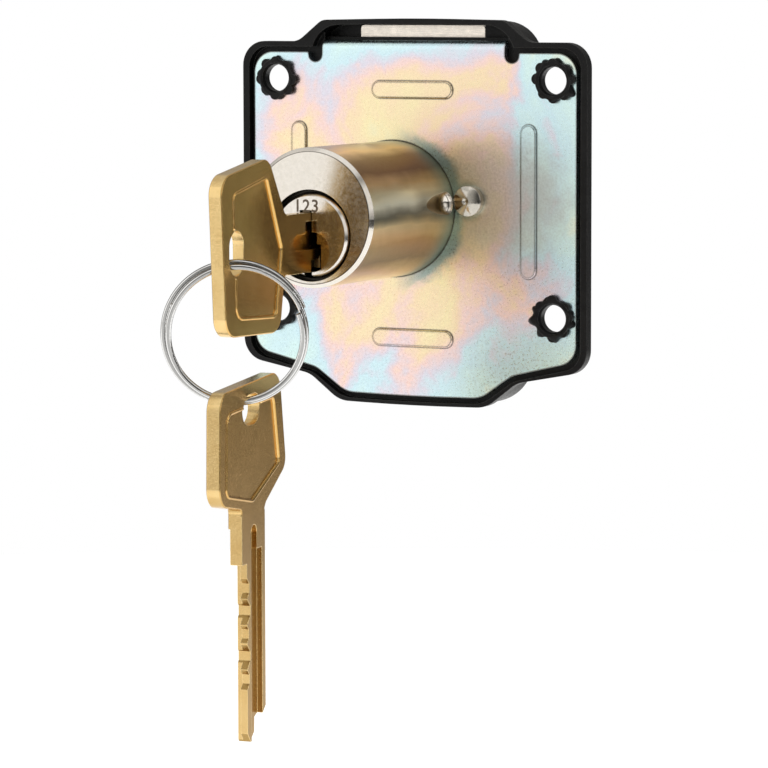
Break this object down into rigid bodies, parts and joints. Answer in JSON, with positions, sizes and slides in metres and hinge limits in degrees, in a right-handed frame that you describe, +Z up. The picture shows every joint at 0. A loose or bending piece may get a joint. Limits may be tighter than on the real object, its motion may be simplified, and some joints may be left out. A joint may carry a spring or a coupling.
{
  "type": "drawer lock",
  "caption": "Surface-mounted drawer lock: moulded case, pressed plate, round barrel, sliding bolt, a key in the plug and a spare key on a split ring.",
  "frame": {"origin": "on the barrel's axis, at the front face of the mounting plate", "axes": "-Y along the barrel towards the keys, +Z up and the way the bolt slides out, +X to the right as seen from the keys"},
  "size_m": [0.0622, 0.0699, 0.1097],
  "materials": {
    "black_moulding": "satin",
    "passivated_zinc": "passivated zinc with pale iridescent clouds",
    "nickel_plate": "polished nickel",
    "nickel_bolt": "satin nickel",
    "zinc_steel": "zinc plated",
    "key_brass": "satin brass",
    "wafer_brass": "stamped brass",
    "spring_steel": "drawn wire",
    "ring_steel": "bright nickel"
  },
  "bodies": {
    "lock_body": {"case": "black_moulding", "front_plate": "passivated_zinc", "barrel": "nickel_plate", "barrel_rivets": "nickel_plate"},
    "plug_and_key": {"plug": "nickel_plate", "cam": "zinc_steel", "cam_screw": "zinc_steel", "key_inserted": "key_brass", "wafer_1": "wafer_brass", "wafer_2": "wafer_brass", "wafer_3": "wafer_brass", "wafer_4": "wafer_brass", "wafer_5": "wafer_brass", "wafer_spring_1": "spring_steel", "wafer_spring_2": "spring_steel", "wafer_spring_3": "spring_steel", "wafer_spring_4": "spring_steel", "wafer_spring_5": "spring_steel"},
    "sliding_bolt": {"bolt": "nickel_bolt"},
    "ring": {"key_ring": "ring_steel"},
    "spare": {"key_spare": "key_brass"}
  },
  "joints": [
    {"name": "key_turn", "type": "hinge", "parent": "lock_body", "child": "plug_and_key", "pos_m": [0, 0, -0.00275], "axis": [0, 1, 0], "range_deg": [0, 360]},
    {"name": "bolt_slide", "type": "slide", "parent": "lock_body", "child": "sliding_bolt", "axis": [0, 0, 1], "range_m": [0, 0.008]},
    {"name": "ring_swing", "type": "hinge", "parent": "plug_and_key", "child": "ring", "pos_m": [-0.00073, -0.05198, -0.00595], "axis": [0.8829, 0.4695, 0], "range_deg": [-25, 25]},
    {"name": "spare_swing", "type": "hinge", "parent": "ring", "child": "spare", "pos_m": [-0.00019, -0.04873, -0.02684], "axis": [0.8829, 0.4695, 0], "range_deg": [-20, 20]}
  ],
  "couplings": [
    {"joint": "bolt_slide", "follows": "key_turn", "m_per_rad": 0.0012732}
  ]
}
